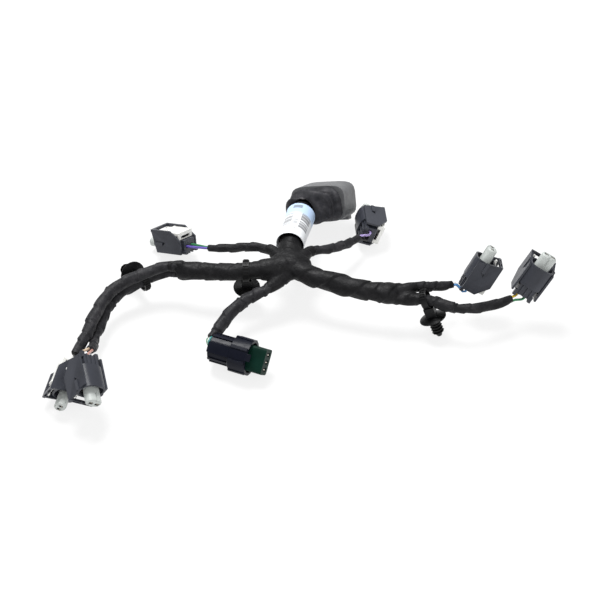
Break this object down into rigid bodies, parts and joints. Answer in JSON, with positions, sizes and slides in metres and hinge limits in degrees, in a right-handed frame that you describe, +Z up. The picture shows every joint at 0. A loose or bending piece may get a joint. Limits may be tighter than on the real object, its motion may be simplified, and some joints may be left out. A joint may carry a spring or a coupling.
{
  "type": "wiring harness",
  "caption": "Taped engine wiring harness with small two-way plugs on side legs, a round sensor plug, a wide main plug and push-in clips.",
  "frame": {"origin": "middle of the outline on the surface the harness lies on", "axes": "+Z up, +Y towards the main plug's side, +X towards the pair of separate right-hand plugs"},
  "size_m": [0.3817, 0.2653, 0.0621],
  "materials": {
    "loom_tape": "matte",
    "label": "satin",
    "plug_housing": "satin",
    "plug_nose": "satin",
    "seal": "matte",
    "slide_lock": "satin",
    "wire_2e7d46": "satin",
    "wire_6b58a8": "satin",
    "wire_a493c8": "satin",
    "wire_1d1d1f": "satin",
    "wire_e6e6e2": "satin",
    "wire_cdb899": "satin",
    "wire_b88680": "satin",
    "wire_3479b8": "satin",
    "wire_d9b420": "satin",
    "round_plug_housing": "gloss",
    "green_carrier": "satin",
    "wire_1f8a80": "satin",
    "main_shell": "matte",
    "contact_block": "matte",
    "clip": "satin"
  },
  "bodies": {
    "harness": {"main_loom": "loom_tape", "label_sleeve": "label", "rear_left_leg": "loom_tape", "rear_right_leg": "loom_tape", "sensor_leg": "loom_tape", "front_outer_leg": "loom_tape", "front_inner_leg": "loom_tape", "right_inner_leg": "loom_tape", "right_outer_leg": "loom_tape", "rear_left_plug_housing": "plug_housing", "rear_left_plug_nose": "plug_nose", "rear_left_plug_seal": "seal", "rear_left_plug_wire_1": "wire_2e7d46", "rear_left_plug_wire_2": "wire_6b58a8", "rear_right_plug_housing": "plug_housing", "rear_right_plug_nose": "plug_nose", "rear_right_plug_seal": "seal", "rear_right_plug_wire_1": "wire_a493c8", "rear_right_plug_wire_2": "wire_1d1d1f", "front_outer_plug_housing": "plug_housing", "front_outer_plug_nose": "plug_nose", "front_outer_plug_seal": "seal", "front_outer_plug_wire_1": "wire_1d1d1f", "front_outer_plug_wire_2": "wire_e6e6e2", "front_inner_plug_housing": "plug_housing", "front_inner_plug_nose": "plug_nose", "front_inner_plug_seal": "seal", "front_inner_plug_wire_1": "wire_cdb899", "front_inner_plug_wire_2": "wire_b88680", "right_inner_plug_housing": "plug_housing", "right_inner_plug_nose": "plug_nose", "right_inner_plug_seal": "seal", "right_inner_plug_wire_1": "wire_3479b8", "right_inner_plug_wire_2": "wire_e6e6e2", "right_outer_plug_housing": "plug_housing", "right_outer_plug_nose": "plug_nose", "right_outer_plug_seal": "seal", "right_outer_plug_wire_1": "wire_d9b420", "right_outer_plug_wire_2": "wire_2e7d46", "sensor_plug_housing": "round_plug_housing", "sensor_plug_contact_carrier": "green_carrier", "sensor_plug_wire_1": "wire_2e7d46", "sensor_plug_wire_2": "wire_e6e6e2", "sensor_plug_wire_3": "wire_1f8a80", "main_plug_shell": "main_shell", "main_plug_contact_block": "contact_block", "main_plug_boot": "loom_tape", "left_clip": "clip", "middle_clip": "clip", "right_clip": "clip"},
    "rear_left_plug_lock": {"rear_left_plug_slide_lock": "slide_lock"},
    "rear_right_plug_lock": {"rear_right_plug_slide_lock": "slide_lock"},
    "front_outer_plug_lock": {"front_outer_plug_slide_lock": "slide_lock"},
    "front_inner_plug_lock": {"front_inner_plug_slide_lock": "slide_lock"},
    "right_inner_plug_lock": {"right_inner_plug_slide_lock": "slide_lock"},
    "right_outer_plug_lock": {"right_outer_plug_slide_lock": "slide_lock"}
  },
  "joints": [
    {"name": "rear_left_plug_lock_slide", "type": "slide", "parent": "harness", "child": "rear_left_plug_lock", "axis": [-0.8385, 0.4791, -0.2595], "range_m": [0, 0.0038]},
    {"name": "rear_right_plug_lock_slide", "type": "slide", "parent": "harness", "child": "rear_right_plug_lock", "axis": [-0.06, 0.9977, -0.03], "range_m": [0, 0.0038]},
    {"name": "front_outer_plug_lock_slide", "type": "slide", "parent": "harness", "child": "front_outer_plug_lock", "axis": [-0.2291, -0.9264, -0.2988], "range_m": [0, 0.0038]},
    {"name": "front_inner_plug_lock_slide", "type": "slide", "parent": "harness", "child": "front_inner_plug_lock", "axis": [0.2525, -0.919, -0.303], "range_m": [0, 0.0038]},
    {"name": "right_inner_plug_lock_slide", "type": "slide", "parent": "harness", "child": "right_inner_plug_lock", "axis": [0.4804, 0.2502, 0.8406], "range_m": [0, 0.0038]},
    {"name": "right_outer_plug_lock_slide", "type": "slide", "parent": "harness", "child": "right_outer_plug_lock", "axis": [0.4887, 0.1596, 0.8577], "range_m": [0, 0.0038]}
  ]
}
